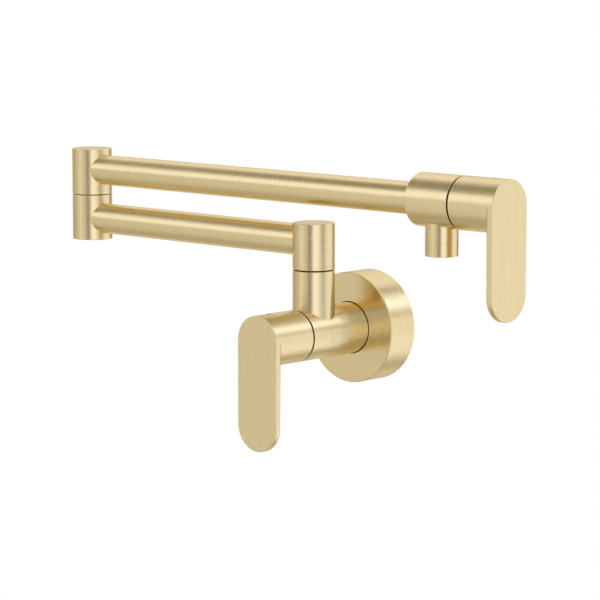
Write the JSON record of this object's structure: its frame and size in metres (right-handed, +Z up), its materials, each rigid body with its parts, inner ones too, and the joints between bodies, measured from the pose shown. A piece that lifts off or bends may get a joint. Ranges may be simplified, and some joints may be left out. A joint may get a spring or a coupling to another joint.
{
  "type": "wall mounted pot filler",
  "caption": "Wall mounted pot filler: folding double-jointed swing arm with a quarter-turn lever valve at the wall and another at the spout, in satin brass.",
  "frame": {"origin": "centre of the water inlet's mouth, on the wall", "axes": "+Z up, +Y into the wall, +X to the right as one faces the wall; the arm is folded to the left and both levers hang down, closed"},
  "size_m": [0.3546, 0.1028, 0.1679],
  "materials": {
    "satin_brass": "satin, fine brushed, champagne gold",
    "raw_brass": "turned, unplated",
    "steel": "plain stainless",
    "rubber": "matte black",
    "acetal": "moulded, off-white",
    "black_acetal": "moulded, black",
    "ceramic": "lapped alumina, polished"
  },
  "bodies": {
    "wall_valve": {"wall_bracket": "raw_brass", "inlet_o_rings": "rubber", "body_lock_screw": "steel", "wall_flange": "satin_brass", "flange_o_ring": "rubber", "wall_valve_body": "satin_brass", "wall_valve_post": "satin_brass", "post_spigot": "raw_brass", "post_o_rings": "rubber", "wall_seat_seal": "rubber", "wall_fixed_disc": "ceramic", "wall_cartridge_housing": "raw_brass", "wall_housing_o_ring": "rubber"},
    "wall_lever": {"wall_lever": "satin_brass", "wall_lever_glide": "black_acetal", "wall_lever_screw": "steel", "wall_spindle": "raw_brass", "wall_spindle_o_rings": "rubber", "wall_moving_disc": "ceramic", "wall_stop_ring": "raw_brass"},
    "lower_arm": {"post_block": "satin_brass", "post_thrust_washer": "black_acetal", "post_lock_screw": "steel", "lower_arm_tube": "satin_brass", "elbow_lower_block": "satin_brass", "elbow_spigot": "raw_brass", "elbow_o_rings": "rubber"},
    "upper_arm": {"elbow_upper_block": "satin_brass", "elbow_thrust_washer": "black_acetal", "elbow_lock_screw": "steel", "upper_arm_tube": "satin_brass", "spout_valve_body": "satin_brass", "spout_seat_seal": "rubber", "spout_fixed_disc": "ceramic", "spout_cartridge_housing": "raw_brass", "spout_housing_o_ring": "rubber", "spout_outlet": "satin_brass", "aerator_seal": "rubber", "aerator_diffuser": "acetal", "aerator_body": "acetal", "aerator_screen": "steel"},
    "spout_lever": {"spout_lever": "satin_brass", "spout_lever_glide": "black_acetal", "spout_lever_screw": "steel", "spout_spindle": "raw_brass", "spout_spindle_o_rings": "rubber", "spout_moving_disc": "ceramic", "spout_stop_ring": "raw_brass"}
  },
  "joints": [
    {"name": "lower_arm_swivel", "type": "hinge", "parent": "wall_valve", "child": "lower_arm", "pos_m": [0, -0.0535, 0.0386], "axis": [0, 0, 1], "range_deg": [0, 180]},
    {"name": "upper_arm_swivel", "type": "hinge", "parent": "lower_arm", "child": "upper_arm", "pos_m": [-0.193, -0.0535, 0.0709], "axis": [0, 0, 1], "continuous": true},
    {"name": "wall_lever_turn", "type": "hinge", "parent": "wall_valve", "child": "wall_lever", "pos_m": [0, -0.0698, 0], "axis": [0, -1, 0], "range_deg": [0, 90]},
    {"name": "spout_lever_turn", "type": "hinge", "parent": "upper_arm", "child": "spout_lever", "pos_m": [0.1159, -0.0535, 0.0867], "axis": [-1, 0, 0], "range_deg": [0, 90]}
  ]
}
